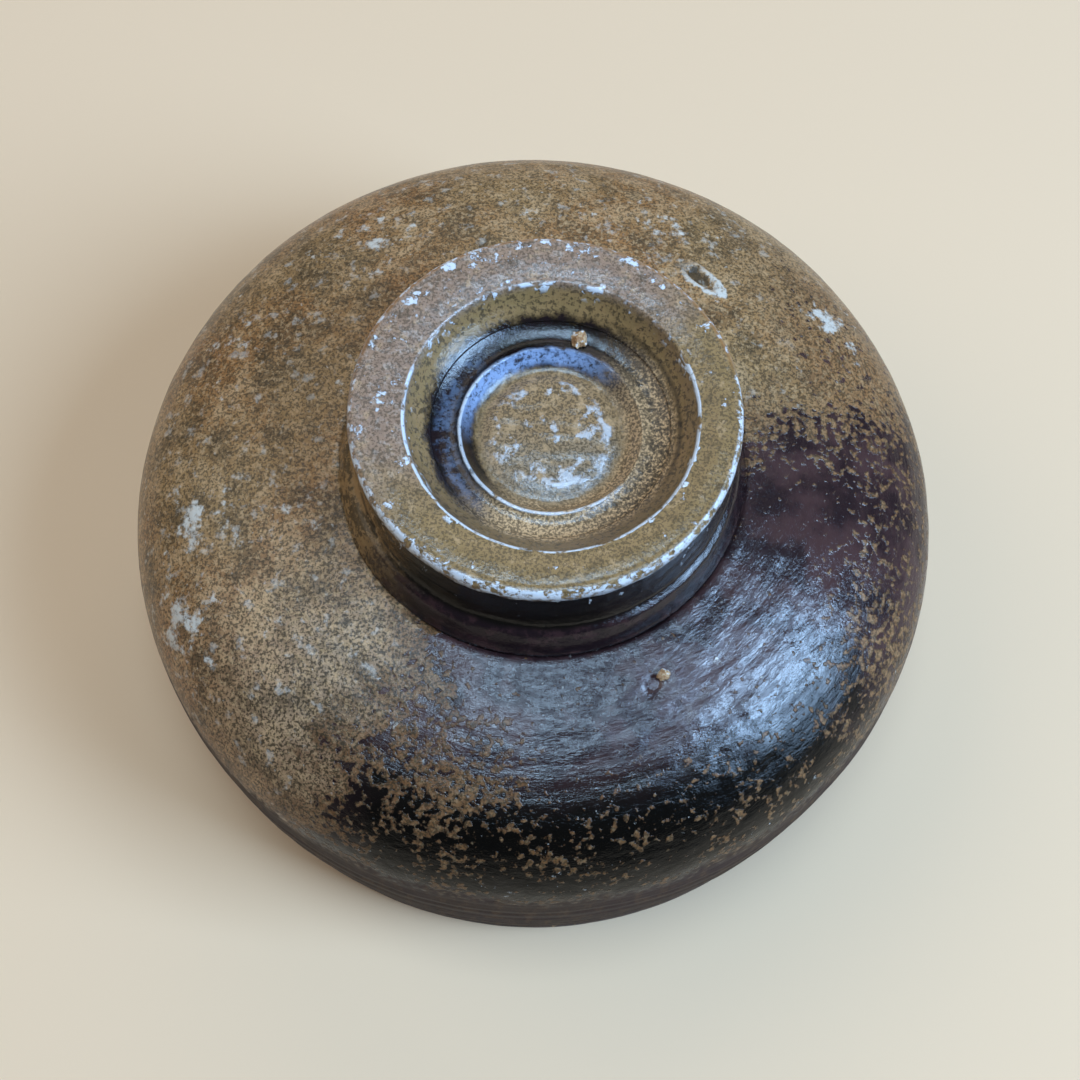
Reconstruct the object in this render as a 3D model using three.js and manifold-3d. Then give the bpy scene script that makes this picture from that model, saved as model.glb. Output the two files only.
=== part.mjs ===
// Matcha bowl (chawan), turned upside down: it rests on its rim and shows its foot.
// Millimetres, +Z up. The origin is the centre of the rim, on the surface the rim rests on.
//
// A thrown clay body carries a luted foot ring. Over them lie the fired glaze coats: a dark iron
// glaze all over the outside, an ash glaze poured over it that leaves one dark wedge bare, a coat
// over the foot, a pool in the foot's well and a coat inside. Two crumbs of kiln grit are fused on.

import * as THREE from "three";
import { mergeVertices } from "three/addons/utils/BufferGeometryUtils.js";
import Module from "manifold-3d";

// Body
const WIDEST_RADIUS = 60;
const WIDEST_HEIGHT = 29;
const RIM_RADIUS = 57.2;
const RIM_INNER_RADIUS = 52.4;
const WALL_LEAN = 1.6; // how late the wall's lean fades out towards the widest line
const HIP_ROUNDNESS = 3; // exponent of the superellipse over the hip
const LIP_HEIGHT = 2.2; // the bare lip, below the edges of the glaze
const LIP_FLAT = [53.6, 55.6]; // inner and outer radius of the face the rim rests on

// Inside of the bowl
const INSIDE_RADIUS = 53.9;
const INSIDE_SPRING = 26; // height where the inner wall turns into the dome
const INSIDE_DEPTH = 48.5;
const INSIDE_ROUNDNESS = 2.8;

// Foot
const FOOT_HEIGHT = 70;
const FOOT_AXIS = [1, 0]; // the foot was set a little off the body's axis
const WELL_AXIS = [1.8, -0.4]; // and its well was cut off the foot's own axis
const FOOT_BASE_RADIUS = 28.5;
const FOOT_BASE_HEIGHT = 54.5;
const FOOT_FACE = [21.6, 25.3]; // inner and outer radius of the flat face on top
const SEAT_HEIGHT = 52.6; // flat seat on the body, under the foot ring
const SEAT_RADIUS = 31;
const WELL_PLUG_RADIUS = 17.1; // raised clay floor that the foot ring fits around

// Glaze
const COAT = 0.4; // one coat of glaze
const FOOT_COAT = 0.6; // thicker where it rolls over the foot and pools in its well
const GAP = 0.3; // clearance between neighbouring pieces
const IRON_DEPTH = COAT + GAP; // the iron glaze's face, below the ash glaze's
const CLAY_DEPTH = 2 * (COAT + GAP);
const ASH_EDGE_HEIGHT = 28; // the ash glaze stops at the widest line, above the rim band
const WEDGE = { start: -72, end: -9, wave: 5 }; // the bare wedge's sides, in degrees from +X

const ROUND = 40; // facets around the bowl
const DEGREE = Math.PI / 180;

const wasm = await Module();
wasm.setup();

// Profiles. A point is a radius and a height, and every outline runs with the clay on its left.

function at(radius, height) {
  return new THREE.Vector2(radius, height);
}

function mixed(low, high, share) {
  return low + (high - low) * share;
}

function shares(steps) {
  return Array.from({ length: steps + 1 }, (_, i) => i / steps);
}

// A quarter of a superellipse, from its side at share 0 towards its top at share 1.
function superellipse(radius, rise, base, roundness, share) {
  const turn = (share * Math.PI) / 2;
  const power = 2 / roundness;
  return at(radius * Math.cos(turn) ** power, base + rise * Math.sin(turn) ** power);
}

// How far round the hip's superellipse the given radius lies.
function hipShare(radius) {
  const turn = Math.acos((radius / WIDEST_RADIUS) ** (HIP_ROUNDNESS / 2));
  return turn / (Math.PI / 2);
}

function hipRise() {
  const turn = (hipShare(FOOT_BASE_RADIUS) * Math.PI) / 2;
  return (FOOT_BASE_HEIGHT - WIDEST_HEIGHT) / Math.sin(turn) ** (2 / HIP_ROUNDNESS);
}

// The glazed outside, from just above the lip to the seat of the foot.
function outsideOutline(lowest = LIP_HEIGHT + GAP, wallSteps = 4) {
  const wall = shares(wallSteps).map((share) => {
    const height = mixed(lowest, WIDEST_HEIGHT, share);
    const lean = (1 - height / WIDEST_HEIGHT) ** WALL_LEAN;
    return at(mixed(WIDEST_RADIUS, RIM_RADIUS, lean), height);
  });
  const end = hipShare(FOOT_BASE_RADIUS - FOOT_AXIS[0]);
  const hip = shares(9).map((share) =>
    superellipse(WIDEST_RADIUS, hipRise(), WIDEST_HEIGHT, HIP_ROUNDNESS, share * end),
  );
  return [...wall, ...hip.slice(1)];
}

// The glazed inside, from the middle of its floor down to the lip.
function insideOutline() {
  const dome = shares(8).map((share) =>
    superellipse(
      INSIDE_RADIUS,
      INSIDE_DEPTH - INSIDE_SPRING,
      INSIDE_SPRING,
      INSIDE_ROUNDNESS,
      1 - share,
    ),
  );
  dome[0].x = 0;
  const wall = shares(2).map((share) =>
    at(
      mixed(INSIDE_RADIUS, RIM_INNER_RADIUS, share),
      mixed(INSIDE_SPRING, LIP_HEIGHT + GAP, share),
    ),
  );
  return [...dome, ...wall.slice(1)];
}

// The glazed foot, from the groove around its base, over its top and down into the well.
function footOutline() {
  const [innerFace, outerFace] = FOOT_FACE;
  return [
    at(FOOT_BASE_RADIUS - 0.5, FOOT_BASE_HEIGHT + 0.2),
    at(27.8, 56.4),
    at(27, 58),
    at(26.3, 59.4),
    at(25.9, 63.5),
    at(26.1, 67),
    at(26.3, 68.8),
    at(outerFace, FOOT_HEIGHT),
    at(innerFace, FOOT_HEIGHT),
    at(20.3, 69.5),
    at(19.6, 68.8),
    at(18.4, 67.2),
    at(17, 65.6),
  ];
}

// The glazed floor of the well: a moat, a thin ridge, and a low boss in the hollow inside it.
function wellOutline() {
  return [
    at(16.6, 65.2),
    at(15.4, 64.3),
    at(14, 63.9),
    at(12.5, 64.2),
    at(11.2, 62.8),
    at(10, 61.9),
    at(8.6, 62.1),
    at(5, 62.5),
    at(0, 62.6),
  ];
}

// The outline moved into the clay by a depth. Points on the axis stay on it.
function sunk(outline, depth) {
  return outline.map((point, i) => {
    const before = outline[Math.max(i - 1, 0)];
    const after = outline[Math.min(i + 1, outline.length - 1)];
    const along = after.clone().sub(before).normalize();
    if (point.x === 0) return at(0, point.y - depth * Math.sign(before.x - after.x));
    return at(point.x - along.y * depth, point.y + along.x * depth);
  });
}

// A closed profile of the layer between two depths below an outline.
function layer(outline, faceDepth, backDepth) {
  const face = sunk(outline, faceDepth);
  const back = sunk(outline, backDepth).reverse();
  if (face[face.length - 1].x === 0) return [...back, ...face];
  if (face[0].x === 0) return [...face, ...back];
  return [...face, ...back, face[0].clone()];
}

// Solids

function turned(profile) {
  return new THREE.LatheGeometry(profile, ROUND).rotateX(Math.PI / 2);
}

function toSolid(geometry) {
  const bare = geometry.clone();
  bare.deleteAttribute("normal");
  bare.deleteAttribute("uv");
  const merged = mergeVertices(bare, 1e-4);
  const triVerts = [];
  for (let i = 0; i < merged.index.count; i += 3) {
    const corners = [0, 1, 2].map((k) => merged.index.getX(i + k));
    if (new Set(corners).size === 3) triVerts.push(...corners);
  }
  return new wasm.Manifold(
    new wasm.Mesh({
      numProp: 3,
      vertProperties: new Float32Array(merged.attributes.position.array),
      triVerts: new Uint32Array(triVerts),
    }),
  );
}

function toGeometry(solid) {
  const mesh = solid.getMesh();
  const geometry = new THREE.BufferGeometry();
  geometry.setAttribute("position", new THREE.BufferAttribute(mesh.vertProperties, 3));
  geometry.setIndex(new THREE.BufferAttribute(mesh.triVerts, 1));
  geometry.computeVertexNormals();
  return geometry;
}

function onAxis([x, y], geometry) {
  return geometry.translate(x, y, 0);
}

// A ring about the foot's axis, with all that lies inside the foot's face moved to the well's axis.
function boredOffCentre(ring) {
  const [innerFace, outerFace] = FOOT_FACE;
  const points = ring.attributes.position;
  for (let i = 0; i < points.count; i++) {
    const radius = Math.hypot(points.getX(i), points.getY(i));
    const share = 1 - THREE.MathUtils.smoothstep(radius, innerFace, outerFace);
    const [x, y] = [0, 1].map((k) => mixed(FOOT_AXIS[k], WELL_AXIS[k], share));
    points.setXY(i, points.getX(i) + x, points.getY(i) + y);
  }
  return ring;
}

// The space the foot takes out of the coats on the body.
function footClearance() {
  const height = 30;
  const cylinder = new THREE.CylinderGeometry(
    FOOT_BASE_RADIUS,
    FOOT_BASE_RADIUS,
    height,
    ROUND,
  ).rotateX(Math.PI / 2);
  return toSolid(onAxis(FOOT_AXIS, cylinder).translate(0, 0, FOOT_HEIGHT - height / 2));
}

// A prism over the wedge that the ash glaze leaves bare, with wandering sides.
function wedgePrism() {
  const reach = 1.4 * WIDEST_RADIUS;
  const steps = 10;
  const side = (angle, phase) =>
    shares(steps).map((share) => {
      const turn = (angle + WEDGE.wave * Math.sin(7 * share + phase)) * DEGREE;
      const radius = mixed(8, reach, share);
      return at(FOOT_AXIS[0] + radius * Math.cos(turn), radius * Math.sin(turn));
    });
  const edge = [...side(WEDGE.start, 0.5), ...side(WEDGE.end, 2.6).reverse()];
  const depth = 2 * FOOT_HEIGHT;
  return toSolid(new THREE.ExtrudeGeometry(new THREE.Shape(edge), { depth, bevelEnabled: false }));
}

function clayBody() {
  const [innerFlat, outerFlat] = LIP_FLAT;
  const inside = sunk(insideOutline(), COAT + GAP);
  const outside = sunk(outsideOutline(), CLAY_DEPTH).filter(
    (point) => point.x > SEAT_RADIUS || point.y < SEAT_HEIGHT - 1,
  );
  const bowl = turned([
    ...inside,
    at(inside[inside.length - 1].x, LIP_HEIGHT),
    at(RIM_INNER_RADIUS + 0.1, LIP_HEIGHT - 0.4),
    at(RIM_INNER_RADIUS + 0.4, 0.8),
    at(innerFlat, 0),
    at(outerFlat, 0),
    at(RIM_RADIUS - 0.5, 0.8),
    at(RIM_RADIUS, LIP_HEIGHT - 0.4),
    at(outside[0].x, LIP_HEIGHT),
    ...outside,
    at(SEAT_RADIUS, SEAT_HEIGHT),
    at(0, SEAT_HEIGHT),
  ]);
  const floor = sunk(wellOutline(), FOOT_COAT + GAP);
  const plug = turned([
    at(0, SEAT_HEIGHT - 1),
    at(WELL_PLUG_RADIUS, SEAT_HEIGHT - 1),
    at(WELL_PLUG_RADIUS, floor[0].y),
    ...floor,
  ]);
  return toGeometry(toSolid(bowl).add(toSolid(onAxis(WELL_AXIS, plug))));
}

function footRing() {
  const shell = sunk(footOutline(), FOOT_COAT + GAP);
  const base = SEAT_HEIGHT + GAP;
  const profile = [
    at(WELL_PLUG_RADIUS + GAP + 0.1, base),
    at(shell[0].x, base),
    ...shell,
    at(WELL_PLUG_RADIUS + GAP + 0.1, base),
  ];
  return boredOffCentre(turned(profile));
}

function ironGlaze() {
  const coat = turned(layer(outsideOutline(), IRON_DEPTH, IRON_DEPTH + COAT));
  return toGeometry(toSolid(coat).subtract(footClearance()));
}

function ashGlaze() {
  const coat = turned(layer(outsideOutline(ASH_EDGE_HEIGHT, 1), 0, COAT));
  return toGeometry(toSolid(coat).subtract(footClearance()).subtract(wedgePrism()));
}

function footGlaze() {
  return boredOffCentre(turned(layer(footOutline(), 0, FOOT_COAT)));
}

function wellGlaze() {
  return onAxis(WELL_AXIS, turned(layer(wellOutline(), 0, FOOT_COAT)));
}

function insideGlaze() {
  return turned(layer(insideOutline(), 0, COAT));
}

// A crumb of grit: a small faceted ball with its corners pushed in and out.
function grit(size, twist) {
  const ball = new THREE.IcosahedronGeometry(size, 1);
  ball.deleteAttribute("normal");
  ball.deleteAttribute("uv");
  const crumb = mergeVertices(ball, 1e-4);
  const corner = new THREE.Vector3();
  for (let i = 0; i < crumb.attributes.position.count; i++) {
    corner.fromBufferAttribute(crumb.attributes.position, i);
    const push = 1 + 0.16 * Math.sin(3 * corner.x + twist) * Math.cos(4 * corner.y - twist);
    corner.multiplyScalar(push);
    crumb.attributes.position.setXYZ(i, corner.x, corner.y, 0.7 * corner.z);
  }
  crumb.computeVertexNormals();
  return crumb;
}

// Materials and scene graph

function glaze(color, roughness) {
  return new THREE.MeshStandardMaterial({ color, roughness, metalness: 0 });
}

const DARK_CLAY = glaze(0x5a4036, 0.85);
const IRON_GLAZE = glaze(0x2c1e20, 0.25);
const ASH_GLAZE = glaze(0x6d5635, 0.35);
const FOOT_GLAZE = glaze(0x7f6a45, 0.35);
const WELL_GLAZE = glaze(0x3a3230, 0.2);
const INSIDE_GLAZE = glaze(0x57472f, 0.3);
const GRIT = glaze(0xb39463, 0.7);

const bowl = new THREE.Group();

function place(name, geometry, material, position = [0, 0, 0]) {
  const mesh = new THREE.Mesh(geometry, material);
  mesh.name = name;
  mesh.position.set(...position);
  bowl.add(mesh);
}

place("clay_body", clayBody(), DARK_CLAY);
place("foot_ring", footRing(), DARK_CLAY);
place("iron_glaze", ironGlaze(), IRON_GLAZE);
place("ash_glaze", ashGlaze(), ASH_GLAZE);
place("foot_glaze", footGlaze(), FOOT_GLAZE);
place("well_glaze", wellGlaze(), WELL_GLAZE);
place("inside_glaze", insideGlaze(), INSIDE_GLAZE);
place("kiln_grit_well", grit(1.3, 0.4), GRIT, [5.4, 13.5, 65.3]);
place("kiln_grit_shoulder", grit(0.9, 2.1), GRIT, [18.1, -31.2, 54]);

export default bowl;
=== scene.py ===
import math

import bpy
import numpy as np
from mathutils import Matrix, Vector, noise


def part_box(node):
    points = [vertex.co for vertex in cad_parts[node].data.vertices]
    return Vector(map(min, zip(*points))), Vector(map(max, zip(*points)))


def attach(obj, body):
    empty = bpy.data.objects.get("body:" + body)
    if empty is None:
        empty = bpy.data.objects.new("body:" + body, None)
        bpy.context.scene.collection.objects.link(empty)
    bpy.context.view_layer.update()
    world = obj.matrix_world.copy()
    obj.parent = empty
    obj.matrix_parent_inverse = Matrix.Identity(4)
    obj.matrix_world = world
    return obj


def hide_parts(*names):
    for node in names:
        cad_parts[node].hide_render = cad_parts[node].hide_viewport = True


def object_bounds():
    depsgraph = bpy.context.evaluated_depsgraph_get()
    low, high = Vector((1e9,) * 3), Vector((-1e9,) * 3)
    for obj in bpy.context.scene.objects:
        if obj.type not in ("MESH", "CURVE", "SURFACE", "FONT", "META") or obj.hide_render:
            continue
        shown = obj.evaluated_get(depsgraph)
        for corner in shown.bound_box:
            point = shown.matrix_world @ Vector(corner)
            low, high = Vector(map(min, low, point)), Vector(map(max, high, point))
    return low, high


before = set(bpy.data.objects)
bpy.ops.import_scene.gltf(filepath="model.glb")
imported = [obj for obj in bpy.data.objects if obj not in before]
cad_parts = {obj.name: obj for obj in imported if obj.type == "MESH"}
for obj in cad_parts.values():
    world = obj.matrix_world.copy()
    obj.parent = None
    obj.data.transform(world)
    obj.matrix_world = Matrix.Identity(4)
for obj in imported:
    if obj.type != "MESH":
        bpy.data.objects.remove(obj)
CAD_LOW, CAD_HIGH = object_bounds()

# Matcha bowl, upside down on its rim. Outlines below are in millimetres, and meshes in metres.
# Every outline is a list of (radius, height) that runs with the clay on its left.

MM = 0.001

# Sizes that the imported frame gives
WIDEST_RADIUS = (CAD_HIGH.x - CAD_LOW.x) / 2 / MM
FOOT_HEIGHT = CAD_HIGH.z / MM
FOOT_LOW, FOOT_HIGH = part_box("foot_glaze")
WELL_LOW, WELL_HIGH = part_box("well_glaze")
FOOT_AXIS = (FOOT_LOW + FOOT_HIGH).to_2d() / 2 / MM
WELL_AXIS = (WELL_LOW + WELL_HIGH).to_2d() / 2 / MM
BASE_AXIS = FOOT_AXIS + Vector((-0.2, -0.75))
GROOVE_RADIUS = (FOOT_HIGH.x - FOOT_LOW.x) / 2 / MM + 0.5

# Sizes of the turned shapes, as the CAD part has them
WIDEST_HEIGHT = 29
RIM_RADIUS = 57.2
RIM_INNER_RADIUS = 52.4
WALL_LEAN = 1.6
HIP_ROUNDNESS = 3
GROOVE_HEIGHT = 54.5
INSIDE_RADIUS = 53.9
INSIDE_SPRING = 26
INSIDE_DEPTH = 48.5
INSIDE_ROUNDNESS = 2.8
LIP_HEIGHT = 2.2

# How deep the backs of the coats lie below their faces, and how deep the clay's skin lies
OUTSIDE_THICKNESS = 0.85
FOOT_THICKNESS = 0.55
WELL_THICKNESS = 0.5
INSIDE_THICKNESS = 0.35
CLAY_BELOW_OUTSIDE = 1.2
CLAY_BELOW_INSIDE = 0.7

# Circles on the foot and in its well, from the foot's or the well's own axis
FACE_EDGE_RADIUS = 25.0
STEP_HEIGHT = 58.0
INNER_LINE_RADIUS = 19.75
RIDGE_RADIUS = 12.4
BOSS_ARC_RADIUS = 7.6


# ---------------------------------------------------------------------------------------------
# Outlines

def smoothstep(value, low, high):
    share = min(max((value - low) / (high - low), 0), 1)
    return share * share * (3 - 2 * share)


def superellipse(radius, rise, base, roundness, share):
    turn = share * math.pi / 2
    power = 2 / roundness
    side = max(math.cos(turn), 0) ** power
    return radius * side, base + rise * math.sin(turn) ** power


def evenly(points, step):
    """The outline through these points again, with points about a step apart."""
    run = np.array(points, float)
    lengths = np.hypot(*np.diff(run, axis=0).T)
    along = np.concatenate([[0], np.cumsum(lengths)])
    count = max(2, round(along[-1] / step) + 1)
    marks = np.linspace(0, along[-1], count)
    return list(zip(np.interp(marks, along, run[:, 0]), np.interp(marks, along, run[:, 1])))


def rounded(points, step):
    """A Catmull-Rom curve through a few points, with points about a step apart."""
    run = [Vector(p) for p in points]
    run = [2 * run[0] - run[1]] + run + [2 * run[-1] - run[-2]]
    curve = []
    for before, start, end, after in zip(run, run[1:], run[2:], run[3:]):
        for share in np.linspace(0, 1, 12, endpoint=False):
            t = float(share)
            curve.append(
                0.5
                * (
                    2 * start
                    + (end - before) * t
                    + (2 * before - 5 * start + 4 * end - after) * t**2
                    + (3 * start - before - 3 * end + after) * t**3
                )
            )
    curve.append(run[-2])
    return evenly(curve, step)


def outside_outline(step):
    wall = []
    for share in np.linspace(0, 1, 40):
        height = LIP_HEIGHT + share * (WIDEST_HEIGHT - LIP_HEIGHT)
        lean = (1 - height / WIDEST_HEIGHT) ** WALL_LEAN
        wall.append((WIDEST_RADIUS + (RIM_RADIUS - WIDEST_RADIUS) * lean, height))
    end = math.acos((GROOVE_RADIUS / WIDEST_RADIUS) ** (HIP_ROUNDNESS / 2)) / (math.pi / 2)
    rise = (GROOVE_HEIGHT - WIDEST_HEIGHT) / math.sin(end * math.pi / 2) ** (2 / HIP_ROUNDNESS)
    hip = [
        superellipse(WIDEST_RADIUS, rise, WIDEST_HEIGHT, HIP_ROUNDNESS, share * end)
        for share in np.linspace(0, 1, 400)
    ]
    return evenly(wall + hip[1:], step)


def inside_outline(step):
    rise = INSIDE_DEPTH - INSIDE_SPRING
    dome = [
        superellipse(INSIDE_RADIUS, rise, INSIDE_SPRING, INSIDE_ROUNDNESS, 1 - share)
        for share in np.linspace(0, 1, 400)
    ]
    dome[0] = (0, INSIDE_DEPTH)
    return evenly(dome + [(RIM_INNER_RADIUS, LIP_HEIGHT)], step)


def foot_outline(step):
    """Groove, fillet ring, side, rolled edge, face, inner edge and the well's slope."""
    return rounded(
        [
            (28.7, 54.1),
            (28.4, 54.6),
            (28.1, 55.6),
            (27.7, 56.7),
            (27.3, 57.5),
            (26.8, 57.9),
            (26.3, 58.5),
            (26.0, 60.4),
            (25.8, 63.5),
            (25.7, 65.8),
            (26.0, 67.2),
            (26.15, 68.4),
            (25.95, 69.2),
            (25.3, 69.72),
            (24.2, 69.88),
            (22.6, 69.84),
            (21.2, 69.6),
            (20.4, 69.46),
            (19.95, 69.42),
            (19.6, 69.1),
            (19.1, 68.2),
            (18.4, 67.15),
            (17.6, 66.25),
            (16.8, 65.45),
            (16.2, 64.95),
        ],
        step,
    )


def well_outline(step):
    """Moat, thin ridge, the hollow inside it, and the low boss in the middle."""
    return rounded(
        [
            (17.9, 66.0),
            (17.1, 65.2),
            (16.3, 64.6),
            (15.4, 64.1),
            (14.5, 63.8),
            (13.7, 63.75),
            (13.0, 64.0),
            (12.5, 64.35),
            (12.15, 64.3),
            (11.8, 63.7),
            (11.3, 62.9),
            (10.6, 62.25),
            (9.8, 62.0),
            (9.1, 62.15),
            (8.3, 62.45),
            (7.0, 62.65),
            (4.0, 62.75),
            (0, 62.8),
        ],
        step,
    )


def lip_outline(step):
    """The bare lip and the clay behind the coats: up the inside, round the lip, and over."""
    section = rounded(
        [
            (RIM_INNER_RADIUS + 0.3, LIP_HEIGHT + 1.4),
            (RIM_INNER_RADIUS, LIP_HEIGHT - 0.3),
            (RIM_INNER_RADIUS + 0.4, 0.8),
            (RIM_INNER_RADIUS + 1.3, 0.06),
            (RIM_INNER_RADIUS + 2.2, 0.0),
            (RIM_INNER_RADIUS + 3.2, 0.06),
            (RIM_RADIUS - 0.5, 0.8),
            (RIM_RADIUS - 0.05, LIP_HEIGHT - 0.3),
            (RIM_RADIUS - 0.2, LIP_HEIGHT + 1.4),
        ],
        step,
    )
    section = [(radius, max(height, 0)) for radius, height in section]
    core_inside = [p for p in sunk(inside_outline(4), CLAY_BELOW_INSIDE) if p[1] > 8]
    core_outside = [
        p for p in sunk(outside_outline(4), CLAY_BELOW_OUTSIDE) if p[1] > 8 and p[0] > 30.5
    ]
    plug_under_well = [
        (30, 52.4),
        (16.9, 52.5),
        (16.9, 63.6),
        (14.4, 62.8),
        (12.4, 63.2),
        (9.8, 61.0),
        (0, 61.9),
    ]
    return core_inside + section + core_outside + plug_under_well


def sunk(outline, depth):
    """The outline moved into the clay. A point on the axis stays on it."""
    run = np.array(outline, float)
    along = np.gradient(run, axis=0)
    along /= np.linalg.norm(along, axis=1)[:, None]
    moved = run + depth * np.stack([-along[:, 1], along[:, 0]], axis=1)
    moved[run[:, 0] == 0, 0] = 0
    return [tuple(p) for p in moved]


# ---------------------------------------------------------------------------------------------
# Meshes

def outward(section):
    """The outward normals of a section, in the plane of radius and height."""
    run = np.array(section, float)
    along = np.gradient(run, axis=0)
    along /= np.maximum(np.linalg.norm(along, axis=1), 1e-9)[:, None]
    return np.stack([along[:, 1], -along[:, 0]], axis=1)


def on_body_axis(radius, height):
    return Vector((0, 0))


def turned(name, face, back, around, relief, axis=on_body_axis):
    """A closed shell: a face turned round the axis, with relief on it, and a plain back.

    relief(point, angle) is how far a point of the face stands out, in millimetres, and
    axis(radius, height) where the centre of that circle lies.
    """
    section = np.array(list(face) + list(back), float).tolist()
    out = outward(face).tolist()
    vertices = []
    rings = []
    for i, (radius, height) in enumerate(section):
        centre = axis(radius, height)
        out_r, out_z = out[i] if i < len(face) else (0, 0)
        ring = []
        for k in range(1 if radius < 1e-6 else around):
            angle = 2 * math.pi * k / around
            aside = Vector((math.cos(angle), math.sin(angle)))
            spot = centre + radius * aside
            push = relief(Vector((spot.x, spot.y, height)), angle) if i < len(face) else 0
            spot += push * out_r * aside
            ring.append(len(vertices))
            vertices.append((spot.x, spot.y, height + push * out_z))
        rings.append(ring)
    faces = []
    for low, high in zip(rings, rings[1:] + rings[:1]):
        if len(low) == 1 and len(high) == 1:
            continue
        for k in range(around):
            after = (k + 1) % around
            if len(low) == 1:
                faces.append((low[0], high[after], high[k]))
            elif len(high) == 1:
                faces.append((low[k], low[after], high[0]))
            else:
                faces.append((low[k], low[after], high[after], high[k]))
    mesh = bpy.data.meshes.new(name)
    mesh.from_pydata([Vector(v) * MM for v in vertices], [], faces)
    mesh.validate()
    mesh.shade_smooth()
    piece = bpy.data.objects.new(name, mesh)
    bpy.context.collection.objects.link(piece)
    return piece


def lumps(spot, size, seed):
    """Smooth noise between about -1 and 1, with lumps of a size in millimetres."""
    return noise.noise(Vector(spot) / size + Vector((seed, 2.3 * seed, -1.7 * seed)))


def around_noise(angle, turns, seed):
    """Noise that runs round the bowl once and closes on itself."""
    spot = Vector((math.cos(angle) * turns, math.sin(angle) * turns, seed))
    return noise.noise(spot)


def foot_axis(radius, height):
    """The foot's own axis, the well's for all inside its face, and a third for its base."""
    if height < 62 and radius > 20:
        return FOOT_AXIS.lerp(BASE_AXIS, 1 - smoothstep(height, 54.5, 61))
    return FOOT_AXIS.lerp(WELL_AXIS, 1 - smoothstep(radius, 21, 25.3))


def well_axis(radius, height):
    return WELL_AXIS


def outside_axis(radius, height):
    """Near the foot the body's surface follows the foot's base."""
    return BASE_AXIS * smoothstep(height, 50, GROOVE_HEIGHT)


def core_axis(radius, height):
    return WELL_AXIS if radius < 17 and height > 52 else on_body_axis(radius, height)


# ---------------------------------------------------------------------------------------------
# Relief of the surfaces

TOOL_MARK = Vector((23.2, 30.9, 53.0))
TOOL_MARK_ALONG = Vector((0.74, -0.67, 0))
PIT = Vector((16.9, -32.4, 53.4))


def throwing_rings(height, angle, pitch):
    """Finger ridges that climb the wall in a slow spiral."""
    climb = height / pitch + angle / (2 * math.pi)
    return math.sin(2 * math.pi * climb) + 0.35 * math.sin(5.3 * math.pi * climb + 1)


def tool_mark(spot):
    """An oval dent with a raised lip, pressed into the shoulder by a tool."""
    gap = spot - TOOL_MARK
    gap.z = 0
    along = gap.dot(TOOL_MARK_ALONG) / 3.1
    across = gap.cross(TOOL_MARK_ALONG).z / 1.2
    away = math.hypot(along, across)
    lip = math.exp(-(((away - 1.3) / 0.33) ** 2))
    return -1.0 * (1 - smoothstep(away, 0.3, 1.0)) + 0.28 * lip


def trim_marks(spot, radius, angle):
    """Shallow strokes that the trimming tool left round the bare side of the shoulder."""
    side = math.exp(-(((spot.x - 26) / 18) ** 2) - ((spot.y + 32) / 18) ** 2)
    ridge = math.sin(1.35 * (0.8 * spot.x - 0.55 * spot.y) + 1.6 * lumps(spot, 9, 16))
    stroke = lumps((radius * 1.1, angle * 9, 0), 1.9, 17)
    return side * (0.06 * ridge + 0.11 * stroke + 0.06 * lumps(spot, 1.5, 20))


def outside_relief(spot, angle):
    radius = math.hypot(spot.x, spot.y)
    push = -0.32 + 0.26 * math.cos(angle - 2.2) + 0.16 * lumps(spot, 30, 1)
    push += 0.10 * lumps(spot, 11, 2) + 0.05 * lumps(spot, 3.4, 3) + 0.02 * lumps(spot, 1.3, 5)
    on_wall = 1 - smoothstep(spot.z, 26, 38)
    push += 0.12 * on_wall * throwing_rings(spot.z, angle, 4.6)
    push += 0.035 * smoothstep(spot.z, 40, 46) * math.sin(radius * 2.1 + 2 * lumps(spot, 20, 4))
    push += trim_marks(spot, radius, angle)
    push += tool_mark(spot)
    push -= 0.8 * math.exp(-(((spot - PIT).length / 0.9) ** 2))
    base_radius = math.hypot(spot.x - BASE_AXIS.x, spot.y - BASE_AXIS.y)
    groove = math.exp(-(((base_radius - GROOVE_RADIUS) / 0.45) ** 2))
    push -= 0.65 * groove * smoothstep(math.cos(angle + 0.9), -0.4, 0.4)
    return min(push, 0)


def roll_edge(angle):
    """The height of the ragged lower edge of the glaze that rolls over the foot."""
    return 67.1 + 0.7 * around_noise(angle, 3.1, 6.0) + 0.8 * around_noise(angle, 11.0, 2.0)


def foot_relief(spot, angle):
    push = 0.08 * lumps(spot, 9, 7) + 0.06 * lumps(spot, 2.6, 8) + 0.025 * lumps(spot, 0.9, 18)
    radius = math.hypot(spot.x - FOOT_AXIS.x, spot.y - FOOT_AXIS.y)
    outside = smoothstep(radius, 25.0, 25.6)
    edge = roll_edge(angle)
    rolled = smoothstep(spot.z, edge - 0.2, edge + 0.35)
    push += outside * 0.34 * rolled
    drips = max(0, around_noise(angle, 16, 3.0)) * (1 - smoothstep(spot.z, 66, 68))
    push += outside * 0.3 * drips * smoothstep(spot.z, 59.5, 62)
    push += outside * 0.10 * (1 - rolled) * lumps((spot.x * 0.2, spot.y * 0.2, spot.z), 1.1, 19)
    push *= smoothstep(math.hypot(spot.x - WELL_AXIS.x, spot.y - WELL_AXIS.y), 16.2, 17.2)
    on_top = smoothstep(spot.z, 69.0, 69.5)
    if on_top > 0:
        push = push * (1 - on_top) + min(push, FOOT_HEIGHT - spot.z - 0.02) * on_top
    return push


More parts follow.
